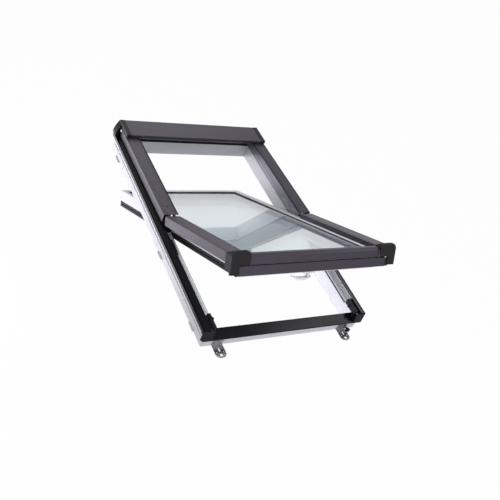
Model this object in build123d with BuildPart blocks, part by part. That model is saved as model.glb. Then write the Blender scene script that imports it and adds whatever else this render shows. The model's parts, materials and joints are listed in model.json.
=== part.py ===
"""Centre-pivot roof window: a white hollow-section frame and sash with dark outer covers.

All sizes are in millimetres. The frame lies flat: X is the width, Y runs up the slope and
Z points outdoors. The origin is the middle of the frame on its room-side face. The sash
stands open by SASH_OPEN degrees about the pivot.
"""
from math import cos, radians, sin, tan
import os

from build123d import *

# Overall layout, measured from the pivot line and from the top of the outer covers
BODY_WIDTH = 746.0
BODY_LENGTH = 1180.0
PIVOT_BELOW_MIDDLE = 40.0
COVER_HEIGHT = 157.0
SASH_OPEN = 29.74
PIN_RISE = 2.0
FREE_GAP = 0.3
FIT_GAP = 0.05

# White frame ring
RING_WALL = 31.0
RING_TOP = -79.0
RING_BOTTOM_TOP = -108.0
LINING_GROOVE = 6.0
LINING_DEPTH = 8.0
CHANNEL_DEPTH = 2.0
CHANNEL_WIDTH = 8.0

# Dark edge profile on top of the ring
LIP_OUT = 17.0
LIP_STRIPE = 10.0
LIP_FACE = 15.0
LIP_CREST_IN = 12.0
LIP_CREST = -54.0
WEB = 3.0
WEB_IN = 7.0
TOP_LIP_OUT = 2.0
TOP_CREST_IN = 15.0

# Sill at the lower end
SILL_OUT = 13.0
SILL_NOSE = -111.0
SILL_NOSE_FACE = 4.0
SILL_CREST = -91.0
CORNER_CHAMFER = 8.0

# Ledge, its seal and the trim round the upper half
LEDGE_IN = 11.0
LEDGE_THICK = 2.0
SEAL_THICK = 2.0
LEDGE_HOOK = 5.0
HINGE_CLEAR = 24.0
SLOT_FIRST = 160.0
SLOT_COUNT = 24
SLOT_PITCH = 12.5
SLOT_WIDTH = 6.0
SLOT_LENGTH = 15.0
SLOT_DEPTH = 0.8
TRIM_WALL = 3.0
TRIM_FOOT = 18.0
TRIM_TOP = -20.0
TRIM_STEPS = (-30.0, -44.0, -58.0)
TRIM_STEP_WIDTH = 2.4
TRIM_STEP_DEPTH = 1.4

# Outer covers
COVER_INSET = 1.0
COVER_WIDTH = 65.0
COVER_SHEET = 1.5
COVER_SKIRT = 39.0
COVER_SPLIT = 7.0
COVER_FALL = 1.5
COVER_GROOVE_IN = 17.0
COVER_GROOVE = 4.0
COVER_GROOVE_DEPTH = 0.6
UPPER_COVER_INNER = 5.0
COVER_SHORT = 37.0
CLIP_PLACES = (60.0, 300.0, 500.0)
CLIP_LENGTH = 20.0
SCREW_IN = 31.0
SCREW_R = 2.2
SCREW_HEAD_R = 4.2
SCREW_HEAD = 2.0

# Hood over the top end
HOOD_DEPTH = 112.0
HOOD_OUT = 7.0
HOOD_TOP = 2.5
HOOD_SKIRT = 15.0
HOOD_SHEET = 2.0
HOOD_CAP_WIDTH = 22.0
HOOD_CAP_TOP = 3.5
CHEEK_LENGTH = 36.0
CHEEK_OUT = 4.0

# Sash
SASH_CLEAR = 16.0
SASH_TOP_CLEAR = 32.0
SASH_LOW_CLEAR = 2.0
STEP_LENGTH = 32.0
SASH_CROWN = -21.0
BEAD_WIDTH = 19.0
GLASS_TOP = -30.0
BEAD_CHAMFER = 7.5
SASH_BACK = -98.0
SASH_STEP = -84.0
SASH_MEMBER = 51.0
SASH_BOTTOM_MEMBER = 46.0
SASH_SEAL_TOP = -70.0
SASH_SEAL_RECESS = 8.0
SASH_SEAL_PROUD = 7.0
POCKET_WALL = 8.0
GLASS_PLAY = 6.0
PANE = 4.0
PANE_GAP = 16.0
SPACER_WIDTH = 9.0
BED_SEAL = 2.0
RIM_SEAL = 3.0
GLASS_LOW_LAP = 16.0
GLASS_HIGH_LAP = 8.0

# Bottom covers and corner caps
NOSE_OUT = 14.0
NOSE_DEPTH = 27.0
NOSE_SHEET = 2.0
UPPER_BAND = 38.0
BAND_GROOVE = 5.0
LOWER_BAND = 80.0
LOWER_BAND_SHORT = 5.0
NOSE_ROUND = 11.0
CAP_LAP = 7.0
CAP_SIDE_OUT = 8.0
CAP_WALL = 3.0
CAP_PROUD = 6.0
CAP_RISE = 17.0
CAP_DROP = 72.0
CAP_SIDE_DROP = 62.0
CAP_ROUND = 25.0
CAP_POST = 35.0

# Pivot hinges
KNUCKLE_R = 6.0
PIN_R = 3.0
SASH_EAR = 2.5
FRAME_EAR = 3.5
EAR_GAP = 0.8
EAR_WIDTH = 28.0
PIN_HEAD_R = 5.0
PIN_HEAD = 1.5

# Lock: rods in the bottom rail, keeps on the ledge, handle on the room side
ROD_R = 5.0
ROD_SET_IN = 55.0
ROD_DEPTH = -67.0
ROD_TRAVEL = 14.0
ROD_SET_BACK = 1.0
CASE_HALF = 24.0
CASE_HEIGHT = 26.0
HANDLE_X = 14.0
KEEP_LOW_GAP = 5.0
KEEP_LENGTH = 71.0
KEEP_TOP = -55.0
KEEP_WIDTH = 17.0
KEEP_KNOB_R = 9.0
STAY_FROM = 155.0
STAY_TO = 83.0
ROSETTE_LENGTH = 62.0
ROSETTE_WIDTH = 27.0
ROSETTE_THICK = 9.0
ROSETTE_CHAMFER = 2.0
NECK_R = 8.5
NECK_LENGTH = 20.0
LEVER_LENGTH = 86.0
LEVER_WIDTH = 21.0
LEVER_THICK = 9.0
LEVER_BOW = 7.0
SPINDLE = 7.0

# Fixing brackets
BRACKET_INSET = 71.0
BRACKET_WIDTH = 47.0
BRACKET_THICK = 3.0
BRACKET_LEG = 27.0
BRACKET_FOOT = 63.0
FOOT_SLOT_AT = 27.0
FOOT_SLOT_LENGTH = 18.0
FOOT_SLOT_WIDTH = 6.0
FOOT_HOLE_AT = 38.0
FOOT_HOLE_SIDE = 15.0
FOOT_HOLE_R = 2.5
FOOT_WINDOW_AT = 51.0
FOOT_WINDOW_R = 6.0
LEG_HOLE_SIDE = 14.0
CAM_R = 9.0
CAM_BORE_R = 2.5
SIDE_CLIP_PLACES = (-455.0, -76.0, 543.0)
SIDE_CLIP_LENGTH = 42.0
PILOT_PLACES = ((566.0, -131.0), (517.0, -150.0), (467.0, -132.0), (-382.0, -138.0))
PILOT_R = 2.5
PILOT_DEPTH = 6.0

# Planes: the frame's own, the falling one of the upper covers and the open sash's
pivot = Vector(0, -PIVOT_BELOW_MIDDLE, COVER_HEIGHT + PIN_RISE)
open_up = Vector(0, sin(radians(SASH_OPEN)), cos(radians(SASH_OPEN)))
FRAME = Plane((0, -PIVOT_BELOW_MIDDLE, COVER_HEIGHT), x_dir=(1, 0, 0), z_dir=(0, 0, 1))
fall_up = (0, sin(radians(COVER_FALL)), cos(radians(COVER_FALL)))
FALL = Plane(FRAME.origin, x_dir=(1, 0, 0), z_dir=fall_up)
SASH = Plane(pivot - open_up * PIN_RISE, x_dir=(1, 0, 0), z_dir=open_up)

# Places that follow from the sizes above
ring_out = BODY_WIDTH / 2
ring_in = ring_out - RING_WALL
ring_top_end = BODY_LENGTH / 2 + PIVOT_BELOW_MIDDLE
ring_low_end = BODY_LENGTH / 2 - PIVOT_BELOW_MIDDLE
cover_out = ring_out - COVER_INSET
cover_in = cover_out - COVER_WIDTH
groove_at = cover_in + COVER_GROOVE_IN
screw_x = cover_in + SCREW_IN
sash_half = ring_in - SASH_CLEAR
pocket_half = sash_half - POCKET_WALL
glass_edge = pocket_half - BEAD_WIDTH
sash_top_end = ring_top_end - SASH_TOP_CLEAR
sash_low_end = ring_low_end - SASH_LOW_CLEAR
step_end = sash_low_end - STEP_LENGTH
glass_low_end = sash_low_end - GLASS_LOW_LAP
glass_top_end = sash_top_end - GLASS_HIGH_LAP
hood_half = cover_out - HOOD_CAP_WIDTH
hood_back = ring_top_end + HOOD_OUT
hood_front = hood_back - HOOD_DEPTH
cheek_back = hood_back + CHEEK_OUT
cheek_front = cheek_back - CHEEK_LENGTH
nose = sash_low_end + NOSE_OUT
nose_back = nose - NOSE_DEPTH
corner_front = nose + CAP_PROUD
lower_cover_end = nose - COVER_SHORT
corner_in = cover_in - CAP_LAP
corner_out = cover_out + CAP_SIDE_OUT
lower_band_half = corner_out - CAP_POST - LOWER_BAND_SHORT
bracket_x = ring_out - BRACKET_INSET
rod_at = sash_low_end - ROD_SET_IN
keep_from = ring_low_end - KEEP_LOW_GAP
keep_to = keep_from - KEEP_LENGTH
reveal_top = ring_top_end - RING_WALL
reveal_low = ring_low_end - RING_WALL
lip_out = ring_out + LIP_OUT
lip_top = RING_TOP + LIP_FACE
lip_crest = ring_out - LIP_CREST_IN
web_top = RING_TOP + WEB
web_in = ring_in - WEB_IN
ledge_in = ring_in - LEDGE_IN
seal_in = ledge_in - SEAL_THICK
keep_out = ledge_in + KEEP_WIDTH
ledge_top = web_top + LEDGE_THICK
sill_front = ring_low_end + SILL_OUT
top_lip = ring_top_end + TOP_LIP_OUT
top_crest = ring_top_end - TOP_CREST_IN
trim_in = seal_in
pane_low = GLASS_TOP - PANE
inner_pane = pane_low - PANE_GAP
glass_low = inner_pane - PANE
pocket_floor = glass_low - BED_SEAL
sash_in = sash_half - SASH_MEMBER
rail_in = step_end - SASH_BOTTOM_MEMBER
top_in = sash_top_end - SASH_MEMBER
seal_recess = sash_half - SASH_SEAL_RECESS
sash_ear_out = sash_half + SASH_EAR
frame_ear_in = sash_ear_out + EAR_GAP
frame_ear_out = frame_ear_in + FRAME_EAR
case_drop = (ROD_DEPTH - CASE_HEIGHT / 2, ROD_DEPTH + CASE_HEIGHT / 2)
SIDES = (("left", -1), ("right", 1))
os.makedirs("parts", exist_ok=True)


def level(base, height):
    """A plane parallel to the base at a height; the sketch's axes are width and slope."""
    return Plane(base.from_local_coords(Vector(0, 0, height)), x_dir=base.x_dir, z_dir=base.z_dir)


def across(base, place):
    """A plane across the slope; the sketch's axes are width and height, extruded down the slope."""
    return Plane(base.from_local_coords(Vector(0, place, 0)), x_dir=base.x_dir, z_dir=-base.y_dir)


def along(base, place):
    """A plane along the slope; the sketch's axes are slope and height, extruded towards +X."""
    return Plane(base.from_local_coords(Vector(place, 0, 0)), x_dir=base.y_dir, z_dir=base.x_dir)


def lip_height(x):
    """Height of the edge profile's sloping back at a distance from the middle."""
    rise = (LIP_CREST - lip_top) / (lip_out - LIP_STRIPE - lip_crest)
    return lip_top + (lip_out - LIP_STRIPE - x) * rise


def sill_height(y):
    """Height of the sill's sloping top at a distance below the pivot."""
    fall = (SILL_CREST - SILL_NOSE - SILL_NOSE_FACE - 1) / (sill_front - 2 - reveal_low)
    return SILL_CREST - (y - reveal_low) * fall


def underside(y):
    """Height of the underside of an upper cover at a place along the slope."""
    return -COVER_SHEET - y * tan(radians(COVER_FALL))


def rect_ring(half_out, low_out, high_out, half_in, low_in, high_in):
    """A rectangular ring in the current sketch, given by half widths and by its ends."""
    with Locations((0, (high_out + low_out) / 2)):
        Rectangle(2 * half_out, high_out - low_out)
    with Locations((0, (high_in + low_in) / 2)):
        Rectangle(2 * half_in, high_in - low_in, mode=Mode.SUBTRACT)


def outline(points, mode=Mode.ADD):
    """A closed straight-sided outline in the current sketch, with its points put anticlockwise."""
    turn = sum(a[0] * b[1] - b[0] * a[1] for a, b in zip(points, points[1:] + points[:1]))
    Polygon(*(points if turn > 0 else points[::-1]), mode=mode)


def arch(sign, inner, outer, low, high, radius):
    """An upright area between two distances from the middle, rounded at both upper corners."""
    middle = sign * (inner + outer) / 2
    with Locations((middle, (low + high - radius) / 2)):
        Rectangle(outer - inner, high - radius - low)
    with Locations((middle, high - radius)):
        Rectangle(outer - inner - 2 * radius, 2 * radius)
    with Locations((sign * (inner + radius), high - radius), (sign * (outer - radius), high - radius)):
        Circle(radius)


def cut_outline(points):
    """A closed straight-sided outline cut from the current sketch."""
    outline(points, mode=Mode.SUBTRACT)


# White frame ring, welded at its corners, with a lining groove and screw channels
with BuildPart() as frame_profile:
    with BuildSketch(level(FRAME, -COVER_HEIGHT)):
        rect_ring(ring_out, -ring_low_end, ring_top_end, ring_in, -reveal_low, reveal_top)
    extrude(amount=COVER_HEIGHT + RING_TOP)
    with BuildSketch(level(FRAME, RING_TOP)):
        with Locations((0, -ring_low_end + RING_WALL / 2)):
            Rectangle(BODY_WIDTH, RING_WALL)
    extrude(amount=RING_BOTTOM_TOP - RING_TOP, mode=Mode.SUBTRACT)
    with BuildSketch(level(FRAME, -COVER_HEIGHT)):
        rect_ring(
            ring_in + 2 * LINING_GROOVE, -reveal_low - 2 * LINING_GROOVE, reveal_top + 2 * LINING_GROOVE,
            ring_in + LINING_GROOVE, -reveal_low - LINING_GROOVE, reveal_top + LINING_GROOVE,
        )
    extrude(amount=LINING_DEPTH, mode=Mode.SUBTRACT)
    for side, sign in SIDES:
        with BuildSketch(across(FRAME, ring_top_end)):
            with Locations((sign * ring_out, (RING_TOP - COVER_HEIGHT) / 2)):
                Rectangle(2 * CHANNEL_DEPTH, CHANNEL_WIDTH)
        extrude(amount=BODY_LENGTH, mode=Mode.SUBTRACT)
        with BuildSketch(along(FRAME, sign * ring_out)):
            with Locations(*PILOT_PLACES):
                Circle(PILOT_R)
        extrude(amount=-sign * PILOT_DEPTH, mode=Mode.SUBTRACT)
frame_profile.part.label = "frame_profile"
export_step(frame_profile.part, "parts/frame_profile.step")

# Dark edge profiles: hollow extrusions with a lip, a sloping back and a flat web
for side, sign in SIDES:
    with BuildPart() as edge_profile:
        with BuildSketch(across(FRAME, top_lip)):
            outline([
                (sign * web_in, RING_TOP), (sign * lip_out, RING_TOP), (sign * lip_out, lip_top),
                (sign * (lip_out - LIP_STRIPE), lip_top), (sign * lip_crest, LIP_CREST),
                (sign * (lip_crest - WEB), LIP_CREST), (sign * (lip_crest - WEB), web_top),
                (sign * web_in, web_top),
            ])
            cut_outline([
                (sign * lip_crest, web_top), (sign * (lip_out - WEB), web_top),
                (sign * (lip_out - WEB), lip_top - WEB), (sign * (lip_out - LIP_STRIPE), lip_top - WEB),
                (sign * lip_crest, LIP_CREST - WEB),
            ])
        extrude(amount=top_lip + ring_low_end + 1)
    edge_profile.part.label = f"edge_profile_{side}"
    export_step(edge_profile.part, f"parts/edge_profile_{side}.step")

with BuildPart() as edge_profile_top:
    with BuildSketch(along(FRAME, -web_in + FREE_GAP)):
        outline([
            (reveal_top, RING_TOP), (top_lip, RING_TOP), (top_lip, lip_top),
            (top_crest + WEB, LIP_CREST), (top_crest, LIP_CREST), (top_crest, web_top),
            (reveal_top, web_top),
        ])
        cut_outline([
            (top_crest + WEB, web_top), (top_lip - WEB, web_top), (top_lip - WEB, lip_top - WEB),
            (top_crest + WEB, LIP_CREST - WEB),
        ])
    extrude(amount=2 * (web_in - FREE_GAP))
edge_profile_top.part.label = "edge_profile_top"
export_step(edge_profile_top.part, "parts/edge_profile_top.step")

# Sill: a sloping hollow nose over the ring's lower member
sill_half = ring_in - FREE_GAP
with BuildPart() as sill_profile:
    with BuildSketch(along(FRAME, -sill_half)):
        outline([
            (-reveal_low, RING_BOTTOM_TOP), (-reveal_low, SILL_CREST),
            (-sill_front + 2, sill_height(sill_front - 2)), (-sill_front, SILL_NOSE + SILL_NOSE_FACE),
            (-sill_front, SILL_NOSE), (-ring_low_end, SILL_NOSE), (-ring_low_end, RING_BOTTOM_TOP),
        ])
        cut_outline([
            (-reveal_low - WEB, RING_BOTTOM_TOP + 2),
            (-reveal_low - WEB, sill_height(reveal_low + WEB) - WEB),
            (-ring_low_end + WEB, sill_height(ring_low_end - WEB) - WEB),
            (-ring_low_end + WEB, RING_BOTTOM_TOP + 2),
        ])
    extrude(amount=2 * sill_half)
sill_profile.part.label = "sill_profile"
export_step(sill_profile.part, "parts/sill_profile.step")

# Sill corners: moulded blocks that end the edge profiles and carry the sill round the corner
lip_end = ring_low_end + 1 + FREE_GAP
for side, sign in SIDES:
    with BuildPart() as sill_corner:
        with BuildSketch(along(FRAME, sign * ring_in)):
            outline([
                (-reveal_low - FREE_GAP, RING_BOTTOM_TOP), (-reveal_low - FREE_GAP, RING_TOP),
                (-lip_end, RING_TOP), (-lip_end, lip_top), (-lip_end - 3, lip_top),
                (-sill_front, SILL_NOSE + SILL_NOSE_FACE), (-sill_front, SILL_NOSE),
                (-ring_low_end, SILL_NOSE), (-ring_low_end, RING_BOTTOM_TOP),
            ])
        extrude(amount=sign * (lip_out - ring_in))
        with BuildSketch(across(FRAME, -reveal_low)):
            outline([
                (sign * ring_out, RING_TOP + 20), (sign * (lip_out + 5), RING_TOP + 20),
                (sign * (lip_out + 5), SILL_NOSE - 5), (sign * ring_out, SILL_NOSE - 5),
            ])
        extrude(amount=RING_WALL, mode=Mode.SUBTRACT)
        with BuildSketch(level(FRAME, SILL_NOSE)):
            outline([
                (sign * (lip_out + 1), -sill_front - 1),
                (sign * (lip_out - CORNER_CHAMFER), -sill_front - 1), (sign * (lip_out + 1), -lip_end),
            ])
        extrude(amount=lip_top - SILL_NOSE, mode=Mode.SUBTRACT)
    sill_corner.part.label = f"sill_corner_{side}"
    export_step(sill_corner.part, f"parts/sill_corner_{side}.step")

# Ledge rails of the lower half: slotted metal strips with a hook for the seal
for side, sign in SIDES:
    with BuildPart() as ledge_rail:
        with BuildSketch(across(FRAME, -HINGE_CLEAR)):
            outline([
                (sign * ledge_in, ledge_top), (sign * (lip_crest - WEB - FREE_GAP), ledge_top),
                (sign * (lip_crest - WEB - FREE_GAP), web_top), (sign * (ledge_in + LEDGE_THICK), web_top),
                (sign * (ledge_in + LEDGE_THICK), web_top - LEDGE_HOOK),
                (sign * ledge_in, web_top - LEDGE_HOOK),
            ])
        extrude(amount=keep_from - HINGE_CLEAR)
        with BuildSketch(across(FRAME, -keep_to + FREE_GAP)):
            outline([
                (sign * (ledge_in - 1), ledge_top + 1), (sign * (keep_out + FREE_GAP), ledge_top + 1),
                (sign * (keep_out + FREE_GAP), web_top - LEDGE_HOOK - 1),
                (sign * (ledge_in - 1), web_top - LEDGE_HOOK - 1),
            ])
        extrude(amount=keep_from - keep_to + 1, mode=Mode.SUBTRACT)
        with BuildSketch(level(FRAME, ledge_top)):
            for slot in range(SLOT_COUNT):
                with Locations((sign * (web_in + SLOT_LENGTH / 2 + 3), -SLOT_FIRST - slot * SLOT_PITCH)):
                    Rectangle(SLOT_LENGTH, SLOT_WIDTH)
        extrude(amount=-SLOT_DEPTH, mode=Mode.SUBTRACT)
    ledge_rail.part.label = f"ledge_rail_{side}"
    export_step(ledge_rail.part, f"parts/ledge_rail_{side}.step")

    with BuildPart() as ledge_seal:
        with BuildSketch(across(FRAME, -HINGE_CLEAR)):
            outline([
                (sign * ledge_in, ledge_top), (sign * seal_in, ledge_top - 1),
                (sign * (seal_in + 1), ledge_top - 4), (sign * seal_in, web_top - LEDGE_HOOK + 1),
                (sign * ledge_in, web_top - LEDGE_HOOK),
            ])
        extrude(amount=keep_to - FREE_GAP - HINGE_CLEAR)
    ledge_seal.part.label = f"ledge_seal_{side}"
    export_step(ledge_seal.part, f"parts/ledge_seal_{side}.step")

# Trim of the upper half: grooved angle strips that stand on the edge profiles' webs
trim_foot_top = web_top + LEDGE_THICK
for side, sign in SIDES:
    with BuildPart() as upper_trim:
        with BuildSketch(across(FRAME, reveal_top - FREE_GAP)):
            outline([
                (sign * trim_in, TRIM_TOP), (sign * (trim_in + TRIM_WALL), TRIM_TOP),
                (sign * (trim_in + TRIM_WALL), trim_foot_top), (sign * (trim_in + TRIM_FOOT), trim_foot_top),
                (sign * (trim_in + TRIM_FOOT), web_top), (sign * trim_in, web_top),
            ])
            for step in TRIM_STEPS:
                with Locations((sign * trim_in, step)):
                    Rectangle(2 * TRIM_STEP_DEPTH, TRIM_STEP_WIDTH, mode=Mode.SUBTRACT)
        extrude(amount=reveal_top - FREE_GAP - HINGE_CLEAR)
    upper_trim.part.label = f"upper_trim_{side}"
    export_step(upper_trim.part, f"parts/upper_trim_{side}.step")

with BuildPart() as upper_trim_top:
    with BuildSketch(along(FRAME, -trim_in - TRIM_WALL + FREE_GAP)):
        outline([
            (reveal_top + 2, TRIM_TOP), (reveal_top + 2 + TRIM_WALL, TRIM_TOP),
            (reveal_top + 2 + TRIM_WALL, web_top), (reveal_top + 2, web_top),
        ])
        for step in TRIM_STEPS:
            with Locations((reveal_top + 2, step)):
                Rectangle(2 * TRIM_STEP_DEPTH, TRIM_STEP_WIDTH, mode=Mode.SUBTRACT)
    extrude(amount=2 * (trim_in + TRIM_WALL - FREE_GAP))
upper_trim_top.part.label = "upper_trim_top"
export_step(upper_trim_top.part, "parts/upper_trim_top.step")

# Black seal round the upper reveal, under the webs and the trim
with BuildPart() as upper_seal:
    with BuildSketch(level(FRAME, RING_TOP - 8)):
        outline([
            (-ring_in, HINGE_CLEAR), (-ring_in, reveal_top), (ring_in, reveal_top), (ring_in, HINGE_CLEAR),
            (ring_in - 5, HINGE_CLEAR), (ring_in - 5, reveal_top - 1), (-ring_in + 5, reveal_top - 1),
            (-ring_in + 5, HINGE_CLEAR),
        ])
    extrude(amount=8)
upper_seal.part.label = "upper_seal"
export_step(upper_seal.part, "parts/upper_seal.step")

# Upper side covers: folded sheets that fall towards the top end and pass under the hood
upper_cover_end = ring_top_end - RING_WALL - 9
for side, sign in SIDES:
    with BuildPart() as side_cover_upper:
        with BuildSketch(across(FALL, upper_cover_end)):
            outline([
                (sign * cover_in, -UPPER_COVER_INNER), (sign * cover_in, 0), (sign * cover_out, 0),
                (sign * cover_out, -COVER_SKIRT), (sign * (cover_out - COVER_SHEET), -COVER_SKIRT),
                (sign * (cover_out - COVER_SHEET), -COVER_SHEET),
                (sign * (cover_in + COVER_SHEET), -COVER_SHEET),
                (sign * (cover_in + COVER_SHEET), -UPPER_COVER_INNER),
            ])
            for groove in (groove_at, cover_out - 12):
                with Locations((sign * groove, 0)):
                    Rectangle(COVER_GROOVE, 2 * COVER_GROOVE_DEPTH, mode=Mode.SUBTRACT)
        extrude(amount=upper_cover_end - COVER_SPLIT)
        with BuildSketch(level(FALL, 0)):
            with Locations((sign * screw_x, CLIP_PLACES[0])):
                Circle(SCREW_R + FIT_GAP)
        extrude(amount=-COVER_SHEET, mode=Mode.SUBTRACT)
    side_cover_upper.part.label = f"side_cover_upper_{side}"
    export_step(side_cover_upper.part, f"parts/side_cover_upper_{side}.step")

# Clips that stand on the webs and hold the upper covers, one group of separate pieces
clip_in = trim_in + TRIM_FOOT + FREE_GAP
clip_out = lip_crest - WEB - FREE_GAP
with BuildPart() as cover_clips:
    for side, sign in SIDES:
        for place in CLIP_PLACES:
            clip_top = underside(place + CLIP_LENGTH / 2) - FIT_GAP
            with BuildSketch(across(FRAME, place + CLIP_LENGTH / 2)):
                outline([
                    (sign * clip_in, web_top), (sign * clip_out, web_top), (sign * clip_out, clip_top),
                    (sign * (screw_x - SCREW_HEAD_R - 1), clip_top),
                    (sign * (screw_x - SCREW_HEAD_R - 1), clip_top - 3),
                    (sign * (clip_out - 3), clip_top - 3), (sign * (clip_out - 3), web_top + 3),
                    (sign * clip_in, web_top + 3),
                ])
            extrude(amount=CLIP_LENGTH)
        with BuildSketch(level(FRAME, underside(CLIP_PLACES[0]))):
            with Locations((sign * screw_x, CLIP_PLACES[0])):
                Circle(SCREW_R + FREE_GAP)
        extrude(amount=-4, mode=Mode.SUBTRACT)
cover_clips.part.label = "cover_clips"
export_step(cover_clips.part, "parts/cover_clips.step")

with BuildPart() as cover_screws:
    for side, sign in SIDES:
        with BuildSketch(level(FALL, 0)):
            with Locations((sign * screw_x, CLIP_PLACES[0])):
                Circle(SCREW_HEAD_R)
        extrude(amount=SCREW_HEAD)
        with BuildSketch(level(FALL, 0)):
            with Locations((sign * screw_x, CLIP_PLACES[0])):
                Circle(SCREW_R)
        extrude(amount=-COVER_SHEET - 2)
cover_screws.part.label = "cover_screws"
export_step(cover_screws.part, "parts/cover_screws.step")

# Hood: one folded sheet across the top end, on an upright carrier
with BuildPart() as hood:
    with BuildSketch(along(FRAME, -hood_half)):
        outline([
            (hood_front, HOOD_TOP - HOOD_SKIRT), (hood_front, HOOD_TOP - 2), (hood_front + 2, HOOD_TOP),
            (hood_back, HOOD_TOP), (hood_back, LIP_CREST), (hood_back - HOOD_SHEET, LIP_CREST),
            (hood_back - HOOD_SHEET, HOOD_TOP - HOOD_SHEET),
            (hood_front + HOOD_SHEET, HOOD_TOP - HOOD_SHEET),
            (hood_front + HOOD_SHEET, HOOD_TOP - HOOD_SKIRT),
        ])
    extrude(amount=2 * hood_half)
hood.part.label = "hood"
export_step(hood.part, "parts/hood.step")

with BuildPart() as hood_carrier:
    with BuildSketch(along(FRAME, -cover_in)):
        outline([
            (top_crest, LIP_CREST), (top_crest + WEB, LIP_CREST),
            (top_crest + WEB, HOOD_TOP - HOOD_SHEET - 3),
            (top_crest + 14, HOOD_TOP - HOOD_SHEET - 3), (top_crest + 14, HOOD_TOP - HOOD_SHEET),
            (top_crest, HOOD_TOP - HOOD_SHEET),
        ])
    extrude(amount=2 * cover_in)
hood_carrier.part.label = "hood_carrier"
export_step(hood_carrier.part, "parts/hood_carrier.step")

# Hood caps: moulded end shells with a rounded shoulder down to the edge profile
stripe_in = lip_out - LIP_STRIPE
cap_in = hood_half + FREE_GAP
cheek_foot = lip_height(cover_out - 1) + FIT_GAP
for side, sign in SIDES:
    with BuildPart() as hood_cap:
        with BuildSketch(along(FRAME, sign * cap_in)):
            outline([
                (hood_front, HOOD_TOP - HOOD_SKIRT), (hood_front, HOOD_CAP_TOP - 2),
                (hood_front + 3, HOOD_CAP_TOP), (hood_back, HOOD_CAP_TOP),
                (cheek_back, HOOD_CAP_TOP - 6), (cheek_back, LIP_CREST + FIT_GAP),
                (cheek_front, LIP_CREST + FIT_GAP), (cheek_front, -34),
                (cheek_front - 12, HOOD_TOP - HOOD_SKIRT),
            ])
        extrude(amount=sign * (cover_out - cap_in))
        with BuildSketch(across(FRAME, cheek_back)):
            with BuildLine():
                Line((sign * (cover_out - 1), cheek_foot), (sign * (cover_out - 1), 0))
                Spline(
                    (sign * (cover_out - 1), 0), (sign * (cover_out + 6), -14), (sign * (cover_out + 13), -32),
                    (sign * lip_out, -52),
                )
                Line((sign * lip_out, -52), (sign * lip_out, lip_top + FIT_GAP))
                Line((sign * lip_out, lip_top + FIT_GAP), (sign * stripe_in, lip_top + FIT_GAP))
                Line((sign * stripe_in, lip_top + FIT_GAP), (sign * (cover_out - 1), cheek_foot))
            make_face()
        extrude(amount=cheek_back - cheek_front)
        with BuildSketch(along(FRAME, sign * (cap_in - 1))):
            outline([
                (hood_front + 2, lip_top - 1), (hood_front + 2, HOOD_CAP_TOP - 2),
                (hood_back, HOOD_CAP_TOP - 2), (hood_back, lip_top - 1),
            ])
        extrude(amount=sign * (cover_out - cap_in - 1), mode=Mode.SUBTRACT)
    hood_cap.part.label = f"hood_cap_{side}"
    export_step(hood_cap.part, f"parts/hood_cap_{side}.step")

# Sash ring: welded, with a glass pocket open outdoors and a stepped lower edge
with BuildPart() as sash_profile:
    with BuildSketch(level(SASH, SASH_BACK)):
        rect_ring(sash_half, -sash_low_end, sash_top_end, sash_in, -rail_in, top_in)
    extrude(amount=SASH_CROWN - SASH_BACK)
    with BuildSketch(level(SASH, SASH_BACK)):
        with Locations((0, -(sash_low_end + step_end) / 2)):
            Rectangle(2 * sash_half, sash_low_end - step_end)
    extrude(amount=SASH_STEP - SASH_BACK, mode=Mode.SUBTRACT)
    with BuildSketch(level(SASH, pocket_floor)):
        with Locations((0, (sash_top_end - sash_low_end) / 2)):
            Rectangle(2 * pocket_half, sash_top_end + sash_low_end - 2 * (sash_half - pocket_half))
    extrude(amount=SASH_CROWN - pocket_floor, mode=Mode.SUBTRACT)
    for side, sign in SIDES:
        with BuildSketch(across(SASH, sash_top_end)):
            with Locations((sign * (sash_half - SASH_SEAL_RECESS / 2), (SASH_SEAL_TOP + SASH_BACK) / 2)):
                Rectangle(SASH_SEAL_RECESS, SASH_SEAL_TOP - SASH_BACK)
        extrude(amount=sash_top_end + sash_low_end, mode=Mode.SUBTRACT)
    with BuildSketch(along(SASH, -sash_half)):
        with Locations((-rod_at, ROD_DEPTH)):
            Circle(ROD_R + FIT_GAP)
    extrude(amount=2 * sash_half, mode=Mode.SUBTRACT)
    with BuildSketch(level(SASH, SASH_BACK)):
        with Locations((HANDLE_X, -rod_at)):
            Rectangle(2 * CASE_HALF, CASE_HEIGHT)
    extrude(amount=case_drop[1] - SASH_BACK, mode=Mode.SUBTRACT)
sash_profile.part.label = "sash_profile"
export_step(sash_profile.part, "parts/sash_profile.step")

# Glazing: two panes with a spacer, a bed seal, a rim seal and a sloping bead over the edge
glass_half = pocket_half - GLASS_PLAY
for pane_name, pane_base in (("glass_outer", pane_low), ("glass_inner", glass_low)):
    with BuildPart() as pane:
        with BuildSketch(level(SASH, pane_base)):
            with Locations((0, (glass_top_end - glass_low_end) / 2 - GLASS_PLAY / 2)):
                Rectangle(2 * glass_half, glass_top_end + glass_low_end - GLASS_PLAY)
        extrude(amount=PANE)
    pane.part.label = pane_name
    export_step(pane.part, f"parts/{pane_name}.step")

glass_high = glass_top_end - GLASS_PLAY
with BuildPart() as glass_spacer:
    with BuildSketch(level(SASH, inner_pane)):
        rect_ring(
            glass_half - 2, -glass_low_end + 2, glass_high - 2,
            glass_half - 2 - SPACER_WIDTH, -glass_low_end + 2 + SPACER_WIDTH,
            glass_high - 2 - SPACER_WIDTH,
        )
    extrude(amount=PANE_GAP)
glass_spacer.part.label = "glass_spacer"
export_step(glass_spacer.part, "parts/glass_spacer.step")

with BuildPart() as bed_seal:
    with BuildSketch(level(SASH, pocket_floor)):
        rect_ring(
            glass_half - 4, -glass_low_end + 4, glass_high - 4,
            glass_half - 16, -glass_low_end + 16, glass_high - 16,
        )
    extrude(amount=BED_SEAL)
bed_seal.part.label = "bed_seal"
export_step(bed_seal.part, "parts/bed_seal.step")

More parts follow.
